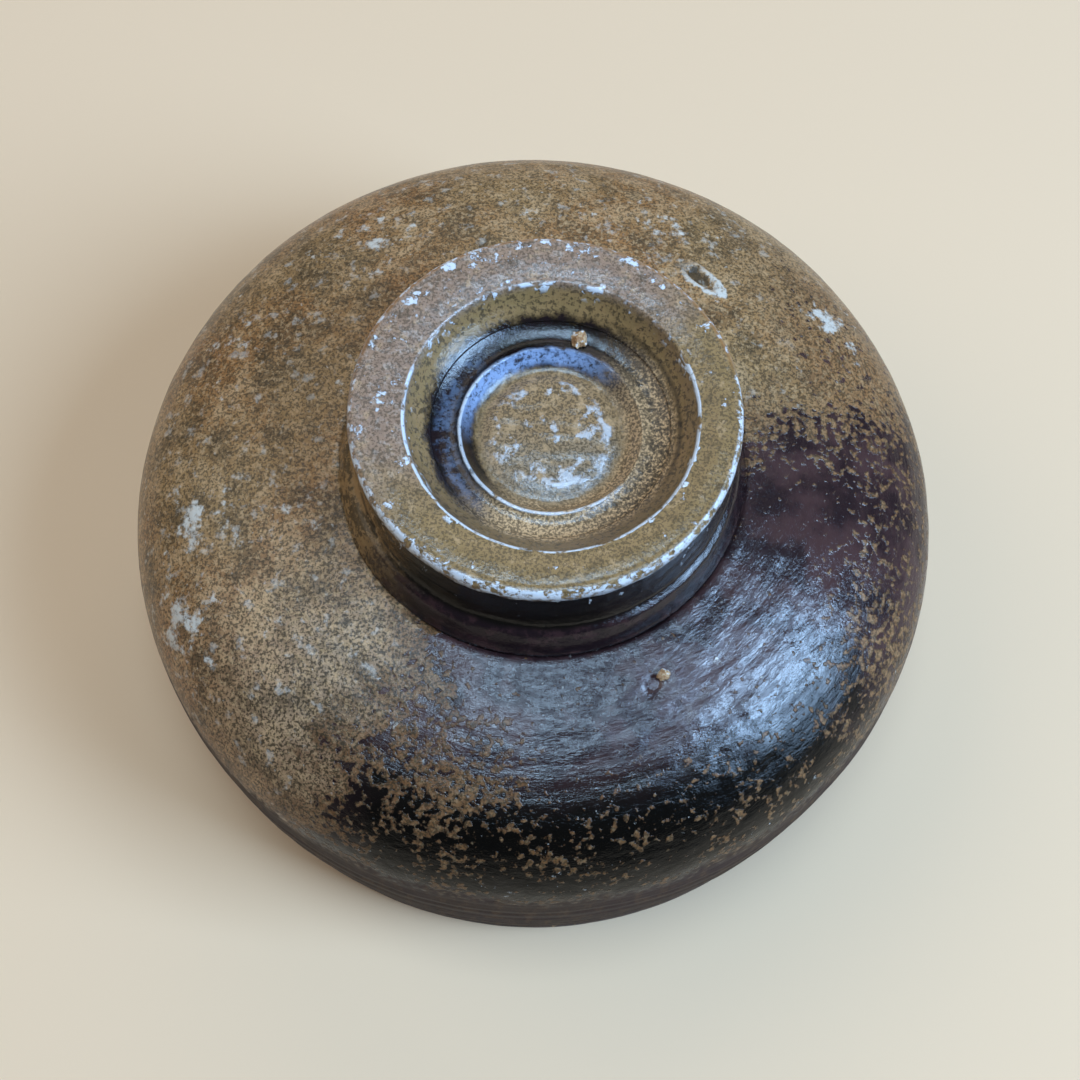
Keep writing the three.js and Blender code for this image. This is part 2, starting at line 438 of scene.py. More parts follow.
def well_relief(spot, angle):
    push = 0.07 * lumps(spot, 5, 9) + 0.05 * lumps(spot, 1.8, 10)
    radius = math.hypot(spot.x - WELL_AXIS.x, spot.y - WELL_AXIS.y)
    streak = lumps((spot.x * 0.5, spot.y * 1.6, 0), 2.4, 11)
    push += 0.14 * streak * (1 - smoothstep(radius, 7, 10))
    ridge = math.exp(-(((radius - 12.3) / 0.6) ** 2))
    push -= 0.5 * ridge * smoothstep(math.cos(angle - 0.4), -0.2, 0.9)
    return push * smoothstep(17.0 - radius, 0, 1.2)


def inside_relief(spot, angle):
    radius = math.hypot(spot.x, spot.y)
    push = 0.16 * lumps(spot, 26, 12) + 0.05 * lumps(spot, 5, 13)
    push += 0.10 * smoothstep(radius, 6, 14) * throwing_rings(radius - spot.z, angle, 5.5)
    return push


def lip_relief(spot, angle):
    if spot.z > LIP_HEIGHT + 2:
        return 0
    push = 0.12 * lumps(spot, 14, 14) + 0.05 * lumps(spot, 3, 15)
    return push * smoothstep(spot.z, 0.1, 0.9)


# ---------------------------------------------------------------------------------------------
# Node graphs

# Millimetres to a degree round the middle of the shoulder
SHOULDER_DEGREE = 45 * math.pi / 180

# Roughness of a glaze's glassy skin
GLASSY = 0.08
SATIN = 0.12


class Value:
    """A socket of a material's graph, with arithmetic on it."""

    def __init__(self, graph, socket):
        self.graph = graph
        self.socket = socket

    def __add__(self, other):
        return self.graph.math("ADD", self, other)

    __radd__ = __add__

    def __sub__(self, other):
        return self.graph.math("SUBTRACT", self, other)

    def __rsub__(self, other):
        return self.graph.math("SUBTRACT", other, self)

    def __mul__(self, other):
        return self.graph.math("MULTIPLY", self, other)


class Graph:
    """A material's node graph. Its coordinates are millimetres in the shared frame."""

    def __init__(self, name):
        self.material = bpy.data.materials.new(name)
        self.material.use_nodes = True
        self.nodes = self.material.node_tree.nodes
        self.links = self.material.node_tree.links
        self.shader = self.nodes["Principled BSDF"]
        place = self.nodes.new("ShaderNodeTexCoord").outputs["Object"]
        scale = self.nodes.new("ShaderNodeVectorMath")
        scale.operation = "SCALE"
        scale.inputs["Scale"].default_value = 1 / MM
        self.links.new(place, scale.inputs[0])
        self.place = scale.outputs[0]
        split = self.nodes.new("ShaderNodeSeparateXYZ")
        self.links.new(self.place, split.inputs[0])
        self.x, self.y, self.z = (Value(self, socket) for socket in split.outputs)
        self.radius = self.from_axis((0, 0))
        self.azimuth = self.math("ARCTAN2", self.y, self.x) * (180 / math.pi)

    def feed(self, source, socket):
        if isinstance(source, Value):
            self.links.new(source.socket, socket)
        elif isinstance(source, bpy.types.NodeSocket):
            self.links.new(source, socket)
        else:
            socket.default_value = source

    def math(self, operation, *terms, clamp=False):
        node = self.nodes.new("ShaderNodeMath")
        node.operation = operation
        node.use_clamp = clamp
        for term, socket in zip(terms, node.inputs):
            self.feed(term, socket)
        return Value(self, node.outputs[0])

    def clamp(self, value):
        return self.math("ADD", value, 0.0, clamp=True)

    def most(self, *values):
        top = values[0]
        for value in values[1:]:
            top = self.math("MAXIMUM", top, value)
        return top

    def from_axis(self, axis):
        """The distance from an upright axis."""
        x, y = self.x - axis[0], self.y - axis[1]
        return self.math("SQRT", x * x + y * y)

    def smooth(self, value, low, high):
        """A smooth step from 0 to 1 while the value goes from low to high, which may be lower."""
        node = self.nodes.new("ShaderNodeMapRange")
        node.interpolation_type = "SMOOTHSTEP"
        start, end = (0.0, 1.0) if low < high else (1.0, 0.0)
        low, high = min(low, high), max(low, high)
        for name, given in zip(
            ("Value", "From Min", "From Max", "To Min", "To Max"), (value, low, high, start, end)
        ):
            self.feed(given, node.inputs[name])
        return Value(self, node.outputs["Result"])

    def within(self, value, low, high, soft):
        """1 between low and high, fading out over a soft distance at both ends."""
        inner = self.smooth(value, low - soft, low + soft)
        outer = self.smooth(value, high + soft, high - soft)
        return inner * outer

    def noise(self, size, detail=2.0, rough=0.5, seed=0.0, stretch=(1, 1, 1)):
        """Noise from 0 to 1, with features of a size in millimetres."""
        mapping = self.nodes.new("ShaderNodeMapping")
        mapping.inputs["Location"].default_value = (seed, 1.7 * seed, -2.3 * seed)
        mapping.inputs["Scale"].default_value = [s / size for s in stretch]
        self.links.new(self.place, mapping.inputs["Vector"])
        node = self.nodes.new("ShaderNodeTexNoise")
        node.inputs["Scale"].default_value = 1.0
        node.inputs["Detail"].default_value = detail
        node.inputs["Roughness"].default_value = rough
        self.links.new(mapping.outputs[0], node.inputs["Vector"])
        return Value(self, node.outputs["Fac"])

    def turned_noise(self, across, along, detail, rough, seed):
        """Noise drawn out round the bowl, with features of two sizes in millimetres."""
        join = self.nodes.new("ShaderNodeCombineXYZ")
        self.feed(self.radius * (1 / across) + seed, join.inputs[0])
        self.feed(self.azimuth * (SHOULDER_DEGREE / along), join.inputs[1])
        node = self.nodes.new("ShaderNodeTexNoise")
        node.inputs["Scale"].default_value = 1.0
        node.inputs["Detail"].default_value = detail
        node.inputs["Roughness"].default_value = rough
        self.links.new(join.outputs[0], node.inputs["Vector"])
        return Value(self, node.outputs["Fac"])

    def near(self, spot, reach):
        """1 at a spot, fading to 0 at a reach, in millimetres."""
        node = self.nodes.new("ShaderNodeVectorMath")
        node.operation = "DISTANCE"
        self.links.new(self.place, node.inputs[0])
        node.inputs[1].default_value = spot
        return self.smooth(Value(self, node.outputs["Value"]), reach, 0.0)

    def oval(self, spot, along, half_length, half_width):
        """How far from the middle of a level oval, in shares of its half length and half width."""
        x, y = self.x - spot[0], self.y - spot[1]
        lengthwise = (x * along[0] + y * along[1]) * (1 / half_length)
        crosswise = (y * along[0] - x * along[1]) * (1 / half_width)
        return self.math("SQRT", lengthwise * lengthwise + crosswise * crosswise)

    def ragged(self, size, level, seed, soft=0.035, detail=5.0, stretch=(1, 1, 1)):
        """Ragged patches: the places where noise of a size lies above a level."""
        field = self.noise(size, detail, 0.62, seed, stretch)
        return self.smooth(field - level, -soft, soft)

    def mix(self, share, first, second):
        node = self.nodes.new("ShaderNodeMix")
        node.data_type = "RGBA"
        for given, slot in ((share, 0), (first, 6), (second, 7)):
            self.feed(given, node.inputs[slot])
        return node.outputs[2]

    def blend(self, share, first, second):
        """A number between two numbers."""
        node = self.nodes.new("ShaderNodeMix")
        for given, slot in ((share, 0), (first, 2), (second, 3)):
            self.feed(given, node.inputs[slot])
        return Value(self, node.outputs[0])

    def bump(self, height, depth, under=None):
        node = self.nodes.new("ShaderNodeBump")
        node.inputs["Distance"].default_value = depth * MM
        self.links.new(height.socket, node.inputs["Height"])
        if under is not None:
            self.links.new(under, node.inputs["Normal"])
        return node.outputs[0]

    def finish(self, color, roughness, normal, coat=None, coat_roughness=GLASSY, specular=0.25):
        """Feeds the shader. A coat is the glassy skin of a glaze, and bare clay has none."""
        self.feed(color, self.shader.inputs["Base Color"])
        self.feed(roughness, self.shader.inputs["Roughness"])
        self.links.new(normal, self.shader.inputs["Normal"])
        if coat is not None:
            self.feed(coat, self.shader.inputs["Coat Weight"])
            self.shader.inputs["Coat Roughness"].default_value = coat_roughness
            self.shader.inputs["Specular IOR Level"].default_value = specular
            self.links.new(normal, self.shader.inputs["Coat Normal"])
        return self.material


def tone(red, green, blue):
    """A colour given as its display values from 0 to 255, as the linear colour nodes take."""
    return tuple(
        (c / 255 / 12.92 if c / 255 <= 0.04045 else ((c / 255 + 0.055) / 1.055) ** 2.4)
        for c in (red, green, blue)
    ) + (1,)


# Colours of the glazes, with a sandy grey that partly paints sheen and a pale blue that paints
# highlight and reflection
OLIVE_BROWN = tone(132, 102, 66)
RUST_BROWN = tone(130, 90, 52)
OLIVE_DARK = tone(44, 35, 22)
SANDY = tone(172, 141, 104)
GREY_OLIVE = tone(122, 104, 82)
SANDY_GREY_AND_SHEEN = tone(140, 118, 96)
PURPLE_BLACK = tone(22, 13, 16)
PURPLE_BROWN = tone(44, 27, 28)
IRON_BLACK = tone(33, 21, 23)
IRON_BROWN = tone(60, 40, 39)
BLACK = tone(6, 5, 4)
TAN = tone(126, 92, 62)
GRANULE = tone(70, 42, 24)
RUST_GRANULE = tone(88, 56, 30)
MILKY = tone(196, 202, 210)
PALE = tone(184, 180, 172)
BAND_BROWN = tone(50, 34, 28)
PINK_BROWN = tone(132, 106, 88)
# A pale blue for the painted highlight and painted reflection in the well
PAINTED_HIGHLIGHT_BLUE = tone(138, 160, 196)
GOLDEN = tone(124, 98, 62)
GRIT_TAN = tone(180, 148, 104)
CLAY_BROWN = tone(70, 48, 40)


# Where milky flecks crowd on the outside: the place, how far it reaches, and how strong it is
FLECK_CROWDS = [
    ((-48, -10, 49), 9, 0.17),
    ((-50, -25, 44), 12, 0.17),
    ((-46, 21, 48), 7, 0.15),
    ((-27, 37, 51), 13, 0.13),
    ((0, 44, 52), 12, 0.08),
    ((17, 40, 52), 12, 0.12),
    ((44, 26, 48), 9, 0.17),
    ((27, -29, 53), 12, 0.04),
    ((-36, -9, 54), 12, 0.07),
]


def outside_glaze():
    """Ash glaze in warm browns over a dark iron glaze, which a speckled wedge leaves bare."""
    g = Graph("outside_glaze")
    cloud = g.noise(22, 3, 0.55, 1)
    drift = g.noise(7, 4, 0.55, 6)
    mottle = g.noise(3.6, 5, 0.65, 2)
    speckle = g.noise(1.05, 2, 0.5, 5)
    patches = g.noise(6.5, 4, 0.6, 21)
    grain = g.noise(0.8, 4, 0.75, 3)
    sand = g.noise(0.42, 2, 0.7, 4)

    # How bare of ash glaze each place is: 0 covered, 1 bare
    turn = g.azimuth + (cloud - 0.5) * 30 + (drift - 0.5) * 24
    core = g.smooth(turn, -134, -98) * g.smooth(turn, 30, -14)
    reach = g.radius + (drift - 0.5) * 12
    bare = core * g.blend(g.smooth(reach, 56, 42), 0.60, 0.86)
    # The shoulder's near edge: bare speckled iron glaze, and also painted black there as painted
    # shade
    edge = g.smooth(reach, 42, 51) * g.within(g.azimuth + (drift - 0.5) * 24, -121, -30, 12)
    bare = g.most(bare, edge * g.blend(g.smooth(patches, 0.36, 0.62), 0.46, 0.80))
    bare = bare - g.within(turn, -30, 20, 14) * g.smooth(reach, 36, 52) * 0.16
    bare = bare - g.near((-8, -44, 50.5), 15) * 0.36
    bare = g.most(bare, g.within(turn, -24, 18, 16) * g.smooth(reach, 34, 46) * 0.62)
    bare = g.most(bare, g.within(turn, 0, 46, 18) * g.smooth(reach, 36, 46) * 0.30)
    level = speckle * 0.78 + mottle * 0.22
    ash = g.smooth(level - bare * 0.5, 0.205, 0.285)
    uneven = g.smooth(g.y, -30, 10) * 22 + 3
    low = g.z + (speckle - 0.5) * 7 + (drift - 0.5) * 6 + (cloud - 0.5) * uneven
    below = g.smooth(low, 37.5, 33.5)
    ash = ash * (1 - below)

    # The ash glaze's own colours
    ash_color = g.mix(g.smooth(cloud, 0.38, 0.62), OLIVE_BROWN, RUST_BROWN)
    # The lower left is mixed towards a sandy grey: partly the glaze's sandy tone, partly painted
    # sheen
    lower_left = g.near((-26, -36, 48), 36)
    ash_color = g.mix(lower_left * 0.8, ash_color, SANDY_GREY_AND_SHEEN)
    ash_color = g.mix(g.smooth(patches, 0.50, 0.62) * 0.5, ash_color, OLIVE_DARK)
    ash_color = g.mix(g.smooth(patches, 0.46, 0.36) * 0.4, ash_color, SANDY)
    ash_color = g.mix(g.smooth(mottle, 0.52, 0.66) * 0.4, ash_color, OLIVE_DARK)
    ash_color = g.mix(g.smooth(mottle, 0.47, 0.34) * 0.45, ash_color, SANDY)
    thin = g.clamp(bare * 2.2)
    lit = g.mix(g.smooth(g.azimuth, -80, -40), RUST_GRANULE, TAN)
    granule = g.mix(g.smooth(level - bare * 0.5, 0.24, 0.36), GRANULE, lit)
    ash_color = g.mix(thin * 0.85, ash_color, granule)
    ash_color = g.mix(g.smooth(sand, 0.46, 0.56) * (lower_left * 0.2 + 0.72), ash_color, OLIVE_DARK)
    ash_color = g.mix(g.smooth(grain, 0.53, 0.60) * (0.5 - thin * 0.35), ash_color, SANDY)

    # The bare iron glaze, and the matt band below the widest line
    iron_color = g.mix(g.smooth(drift, 0.4, 0.62), IRON_BLACK, IRON_BROWN)
    # Painted shade: the iron glaze is painted black along the shoulder's near edge
    iron_color = g.mix(edge, iron_color, BLACK)
    band_color = g.mix(g.smooth(g.noise(9, 3, 0.5, 7), 0.35, 0.65), BAND_BROWN, PURPLE_BROWN)
    streaks = g.noise(1.6, 3, 0.6, 8, (1, 1, 0.3))
    band_color = g.mix(g.smooth(streaks, 0.46, 0.7) * 0.16, band_color, OLIVE_BROWN)
    band_color = g.mix(g.smooth(grain, 0.5, 0.6) * 0.5, band_color, PURPLE_BLACK)
    iron_color = g.mix(below, iron_color, band_color)
    color = g.mix(ash, iron_color, ash_color)

    # Milky flecks, crowded on the left, at the back and round the tool mark
    crowd = g.smooth(g.x, 10, -40) * 0.02
    for spot, reach_mm, strength in FLECK_CROWDS:
        crowd = crowd + g.near(spot, reach_mm) * strength
    field = g.noise(3.0, 5, 0.66, 9)
    milky = g.smooth(field + crowd, 0.66, 0.78) * (1 - below)
    soft_flecks = g.ragged(2.4, 0.62, 31, 0.05) * g.smooth(bare, 0.3, 0.1)
    milky = g.most(milky, soft_flecks * 0.42 * (1 - below))
    mark = g.oval(TOOL_MARK, TOOL_MARK_ALONG, 3.1, 1.2) + (g.noise(1.4, 3, 0.6, 12) - 0.5) * 1.8
    mark_lip = g.within(mark, 0.95, 1.55, 0.15) * g.smooth(g.y - g.x * 0.4, 26, 20)
    milky = g.most(milky, mark_lip, g.ragged(1.3, 0.71, 10, 0.02) * 0.8 * (1 - below))
    milky = milky * g.smooth(grain, 0.3, 0.5)
    # Painted shade: the hollow of the tool mark's dent is painted dark olive
    color = g.mix(g.smooth(mark, 0.95, 0.6) * 0.9, color, OLIVE_DARK)
    color = g.mix(milky * 0.85, color, PALE)

    rough = g.blend(ash, 0.2, 0.4) + (grain - 0.5) * 0.2
    rough = g.blend(below, rough, 0.6)
    rough = g.blend(milky, rough, 0.25)
    scratches = g.turned_noise(0.7, 2.6, 4, 0.7, 14)
    normal = g.bump(scratches * (1 - ash), 0.16)
    normal = g.bump(grain * g.blend(ash, 0.3, 1.0), 0.11, normal)
    normal = g.bump(sand * ash, 0.04, normal)
    normal = g.bump(ash + milky * 0.5, 0.07, normal)
    matt = g.smooth(g.z + (drift - 0.5) * 4, 49.5, 46.5) * g.within(g.azimuth, -150, 20, 14)
    broken = g.smooth(g.turned_noise(1.1, 3.2, 5, 0.7, 23), 0.42, 0.56)
    coat = g.blend(ash, g.blend(broken, 0.4, 1.0), 0.35) * (1 - g.most(matt * 0.88, below))
    return g.finish(color, rough, normal, coat, GLASSY, 0.14)


def foot_coat():
    """The coat over the foot and in its well: golden olive, milky where it breaks over edges."""
    g = Graph("foot_coat")
    foot_radius = g.from_axis(FOOT_AXIS)
    well_radius = g.from_axis(WELL_AXIS)
    cloud = g.noise(9, 3, 0.55, 1)
    mottle = g.noise(2.2, 5, 0.65, 2)
    grain = g.noise(0.7, 4, 0.75, 3)
    sand = g.noise(0.38, 2, 0.7, 4)
    wander = (g.noise(2.2, 3, 0.6, 16) - 0.5) * 1.0

    # The face: golden in front and on the right, pink-brown on the left and at the back
    far_left = g.smooth(g.y * 0.8 - g.x * 0.6 + (cloud - 0.5) * 20, -7, 11)
    face = g.mix(far_left, GOLDEN, PINK_BROWN)
    face = g.mix(g.smooth(mottle, 0.52, 0.68) * 0.45, face, OLIVE_DARK)
    face = g.mix(g.smooth(mottle, 0.46, 0.34) * 0.45, face, SANDY)
    bloom = g.smooth(g.noise(1.3, 5, 0.7, 19), 0.5, 0.66) * far_left
    face = g.mix(bloom * 0.28, face, PALE)
    face = g.mix(g.smooth(sand, 0.47, 0.57) * 0.6, face, OLIVE_DARK)
    rust_edge = g.smooth(foot_radius, 25.4, 25.9) * g.smooth(g.y, 4, 10)
    face = g.mix(rust_edge * 0.8, face, RUST_BROWN)

    # The outer side: black and glossy in front, purple on the right, streaked olive on the left
    side = g.smooth(foot_radius, FACE_EDGE_RADIUS, FACE_EDGE_RADIUS + 0.5)
    side = side * g.smooth(g.z + wander, 68.2, 67.2)
    turn = g.azimuth + (cloud - 0.5) * 30
    left = g.most(g.smooth(turn, -122, -152), g.smooth(turn, 30, 60))
    dark = g.mix(g.smooth(turn, -72, -36), BLACK, PURPLE_BLACK)
    streak = g.noise(1.1, 4, 0.65, 5, (0.22, 0.22, 1))
    streaked = g.mix(g.smooth(streak + (mottle - 0.5) * 0.3, 0.40, 0.60), OLIVE_BROWN, OLIVE_DARK)
    streaked = g.mix(g.smooth(g.noise(0.9, 4, 0.7, 6), 0.56, 0.66), streaked, SANDY)
    side_color = g.mix(left, dark, streaked)
    fillet = g.smooth(g.z, STEP_HEIGHT + 0.3, STEP_HEIGHT - 0.3)
    fillet_dark = g.mix(g.smooth(mottle, 0.45, 0.65), PURPLE_BLACK, PURPLE_BROWN)
    fillet_spots = g.smooth(grain + (mottle - 0.5), 0.42, 0.58) * 0.8
    fillet_light = g.mix(fillet_spots, OLIVE_BROWN, OLIVE_DARK)
    fillet_color = g.mix(left, fillet_dark, fillet_light)
    side_color = g.mix(fillet, side_color, fillet_color)
    color = g.mix(side, face, side_color)

    # The well: golden slope, black glossy moat, and an olive bed round a brown boss
    slope = g.smooth(well_radius, 19.9, 19.0)
    slope_color = g.mix(g.smooth(mottle, 0.45, 0.6) * 0.6, GOLDEN, OLIVE_BROWN)
    slope_color = g.mix(g.smooth(grain, 0.5, 0.58) * 0.75, slope_color, OLIVE_DARK)
    slope_color = g.mix(g.smooth(g.y, -4, -14) * 0.35, slope_color, OLIVE_DARK)
    color = g.mix(slope, color, slope_color)
    depth = well_radius + (mottle - 0.5) * 2.4
    dark_side = g.smooth(g.y * 0.62 - g.x * 0.78 + (cloud - 0.5) * 8, -9, 3)
    moat = g.smooth(depth, 17.6, 16.4) * g.smooth(depth, 9.2, 11.2)
    moat_color = g.mix(g.smooth(mottle, 0.4, 0.62), PURPLE_BLACK, BLACK)
    bed_color = g.mix(g.smooth(sand, 0.44, 0.54) * 0.75, SANDY, OLIVE_DARK)
    stipple = g.within(well_radius, 13.2, 17.0, 1.2) * g.within(g.azimuth, -60, 60, 20)
    bed_color = g.mix(stipple * g.smooth(grain, 0.46, 0.54) * 0.8, bed_color, BLACK)
    color = g.mix(moat, color, g.mix(dark_side, bed_color, moat_color))
    right_lines = g.within(well_radius + wander * 0.5, 17.2, 17.7, 0.25)
    right_lines = right_lines * g.within(g.azimuth, -25, 55, 12)
    color = g.mix(right_lines * 0.6, color, BLACK)
    boss = g.smooth(depth, 10.6, 9.0)
    boss_color = g.mix(g.smooth(g.y + (cloud - 0.5) * 10, -6, 3) * 0.75, GREY_OLIVE, OLIVE_BROWN)
    boss_color = g.mix(g.smooth(sand, 0.46, 0.55) * 0.7, boss_color, OLIVE_DARK)
    boss_color = g.mix(g.smooth(mottle, 0.47, 0.34) * 0.5, boss_color, SANDY)
    color = g.mix(boss, color, boss_color)

    # Milky edges, flecks and drips, and whitish pools and arcs on the boss that are partly painted
    # glints
    thick = g.noise(3.2, 3, 0.55, 7)
    off_line = g.math("ABSOLUTE", well_radius - INNER_LINE_RADIUS + wander * 0.3)
    inner_line = g.smooth(off_line, 0.32, 0.12)
    far_side = g.smooth(g.y + (cloud - 0.5) * 6, 3, 9)
    inner_line = inner_line * g.smooth(thick - far_side * 0.16, 0.38, 0.46)
    inner_line = inner_line * g.smooth(g.z, 68, 68.6)
    blobs = g.smooth(g.math("ABSOLUTE", well_radius - 19.9), 1.1, 0.5) * g.smooth(thick, 0.62, 0.66)
    near_side = g.smooth(g.x * 0.2 - g.y * 0.95, -16, 18)
    outer_line = g.smooth(foot_radius + wander * 0.6, 25.6, 26.0)
    outer_line = outer_line * g.smooth(g.z + wander * 1.2, 66.4, 67.2)
    outer_line = outer_line * g.smooth(g.noise(1.5, 4, 0.65, 8) + near_side * 0.075, 0.51, 0.60)
    crowd = far_left * 0.06 + g.smooth(foot_radius, 23.5, 25.5) * 0.05
    flecks = g.smooth(g.noise(2.3, 5, 0.66, 13) + crowd, 0.66, 0.71) * g.smooth(g.z, 67, 68.5)
    drops = g.ragged(1.6, 0.66, 15, 0.02, 4.0, (1, 1, 0.45)) * side * g.smooth(g.z, 59.5, 62)
    off_ridge = g.math("ABSOLUTE", well_radius - RIDGE_RADIUS + wander * 0.25)
    ridge = g.smooth(off_ridge, 0.36, 0.14)
    ridge = ridge * g.smooth(g.x * 0.7 + g.y * 0.7, 4, -3) * g.smooth(thick, 0.36, 0.46)
    # Whitish arcs and pools on the boss: milky glaze and painted glints, with the pools leaning to
    # the near side
    off_arc = g.math("ABSOLUTE", well_radius - BOSS_ARC_RADIUS + wander * 2.2)
    arc_and_glints = g.smooth(off_arc, 0.9, 0.3)
    arc_and_glints = arc_and_glints * g.smooth(g.noise(3.4, 4, 0.6, 17), 0.50, 0.60) * 0.65
    pool_and_glints = g.smooth(g.noise(2.0, 5, 0.65, 10, (1, 0.8, 1)) - g.y * 0.006, 0.56, 0.66)
    pool_and_glints = pool_and_glints * g.smooth(well_radius, 9.4, 7) * 0.6
    milky = g.most(inner_line, blobs, outer_line, flecks, drops, ridge * 0.7, arc_and_glints, pool_and_glints)
    milky = milky * g.smooth(grain, 0.26, 0.46)

    # Painted highlight: a pale blue band on the far side of the well's ridge, and a fainter painted
    # reflection in the moat on the left
    far_well = g.smooth(g.y * 0.86 - g.x * 0.4, 1, 8)
    painted_highlight = g.within(well_radius + wander, 10.9, 12.5, 0.5) * far_well
    painted_highlight = painted_highlight * g.smooth(thick, 0.30, 0.44)
    painted_reflection_left = g.within(well_radius + wander * 2, 13.0, 15.6, 0.7) * g.smooth(g.x, -5, -11)
    painted_highlight = g.most(painted_highlight * 0.75, painted_reflection_left * g.smooth(mottle, 0.42, 0.56) * 0.2)
    color = g.mix(painted_highlight * g.smooth(grain, 0.3, 0.55), color, PAINTED_HIGHLIGHT_BLUE)
    color = g.mix(milky * 0.85, color, MILKY)

    wet = g.clamp(moat * dark_side + side)
    rough = g.blend(wet, 0.36, 0.13) + (grain - 0.5) * 0.16
    rough = g.blend(milky, rough, 0.2)
    normal = g.bump(grain, 0.07)
    normal = g.bump(sand, 0.035, normal)
    normal = g.bump(milky, 0.10, normal)
    side_coat = g.blend(g.smooth(foot_radius - g.x, 22, 14), 0.35, 0.7)
    return g.finish(color, rough, normal, g.blend(side, 0.8, side_coat), GLASSY, 0.18)


def inside_coat():
    """The coat inside the bowl: olive brown, darker where it pools in the middle."""
    g = Graph("inside_coat")
    cloud = g.noise(20, 3, 0.55, 1)
    mottle = g.noise(4.5, 4, 0.6, 2)
    grain = g.noise(0.5, 3, 0.75, 3)
    color = g.mix(g.smooth(cloud, 0.36, 0.64), OLIVE_BROWN, RUST_BROWN)
    color = g.mix(g.smooth(mottle, 0.52, 0.66) * 0.6, color, OLIVE_DARK)
    color = g.mix(g.smooth(mottle, 0.47, 0.34) * 0.45, color, SANDY)
    color = g.mix(g.smooth(grain, 0.5, 0.64) * 0.5, color, OLIVE_DARK)
    pooled = g.smooth(g.radius + (cloud - 0.5) * 14, 26, 8)
    color = g.mix(pooled * 0.8, color, OLIVE_DARK)
    near_lip = g.smooth(g.z + (mottle - 0.5) * 5, 8, 3)
    color = g.mix(near_lip, color, PURPLE_BROWN)
    milky = g.ragged(3.6, 0.68, 13) * g.smooth(grain, 0.3, 0.5)
    color = g.mix(milky * 0.8, color, MILKY)
    rough = g.blend(pooled, 0.38, 0.2) + (grain - 0.5) * 0.14
    normal = g.bump(grain, 0.08)
    return g.finish(color, rough, normal, 0.6, SATIN)


def fired_clay():
    """Dark iron-bearing stoneware, bare on the lip."""
    g = Graph("fired_clay")
    mottle = g.noise(3, 4, 0.6, 1)
    grain = g.noise(0.5, 3, 0.7, 2)
    color = g.mix(g.smooth(mottle, 0.35, 0.65), CLAY_BROWN, PURPLE_BROWN)
    color = g.mix(g.ragged(1.1, 0.66, 3) * 0.6, color, GRIT_TAN)
    normal = g.bump(grain, 0.12)
    return g.finish(color, 0.62 + (grain - 0.5) * 0.2, normal)


def grit_sand():
    """Kiln grit: sandy, with glassy spots."""
    g = Graph("grit_sand")
    mottle = g.noise(0.7, 5, 0.65, 1)
    color = g.mix(g.smooth(mottle, 0.42, 0.58), SANDY, RUST_BROWN)
    color = g.mix(g.smooth(mottle, 0.44, 0.36) * 0.8, color, MILKY)
    normal = g.bump(g.noise(0.3, 3, 0.7, 2), 0.14)
    return g.finish(color, g.blend(g.smooth(mottle, 0.5, 0.7), 0.7, 0.3), normal)


# ---------------------------------------------------------------------------------------------
# Pieces

def dress(piece, material, slot, *nodes):
    """Gives a piece its material and place in the frame, and lets it stand for CAD nodes."""
    piece.data.materials.clear()
    piece.data.materials.append(material)
    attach(piece, "root")
    if nodes:
        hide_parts(*nodes)


def add_outside(material):
    """One shell for both outside glazes, which run out gradually into each other."""
    face = outside_outline(0.5)
    back = sunk(outside_outline(6), OUTSIDE_THICKNESS)[::-1]
    piece = turned("outside_glaze", face, back, 600, outside_relief, outside_axis)
    dress(piece, material, "ash_glaze", "ash_glaze", "iron_glaze")


def add_foot(material):
    face = foot_outline(0.26)
    back = sunk(foot_outline(2.0), FOOT_THICKNESS)[::-1]
    piece = turned("foot_coat", face, back, 520, foot_relief, foot_axis)
    dress(piece, material, "foot_glaze", "foot_glaze")


def add_well(material):
    face = well_outline(0.22)
    back = sunk(well_outline(1.4), WELL_THICKNESS)[::-1]
    piece = turned("well_pool", face, back, 360, well_relief, well_axis)
    dress(piece, material, "well_glaze", "well_glaze")


def add_inside(material):
    face = inside_outline(0.7)
    back = sunk(inside_outline(6), INSIDE_THICKNESS)[::-1]
    piece = turned("inside_coat", face, back, 400, inside_relief)
    dress(piece, material, "inside_glaze", "inside_glaze")


def add_clay(material):
    """The clay core with the bare lip. The CAD foot ring stays, and only takes the clay's look."""
    section = lip_outline(0.25)
    piece = turned("clay_core", section, [], 360, lip_relief, core_axis)
    dress(piece, material, "fired_clay", "clay_body")
    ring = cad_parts["foot_ring"]
    ring.data.materials.clear()
    ring.data.materials.append(material)


def add_grit(node, seed, sink, material):
    """A crumb in the CAD crumb's place, rough and partly sunk in glaze."""
    low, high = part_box(node)
    bpy.ops.mesh.primitive_ico_sphere_add(subdivisions=5, radius=1)
    piece = bpy.context.object
    piece.name = f"{node}_crumb"
    half = (high - low) / 2
    centre = (high + low) / 2 - Vector((0, 0, sink * MM))
    for vertex in piece.data.vertices:
        away = vertex.co.copy()
        reach = 0.84 + 0.34 * noise.noise(away * 1.3 + Vector((seed, 0, 0)))
        reach += 0.16 * noise.noise(away * 3.5 + Vector((0, seed, 0)))
        reach += 0.05 * noise.noise(away * 9 + Vector((0, 0, seed)))
        vertex.co = centre + Vector(a * h for a, h in zip(away * reach, half))
    piece.data.shade_smooth()
    dress(piece, material, "kiln_grit", node)


# ---------------------------------------------------------------------------------------------
# Stage

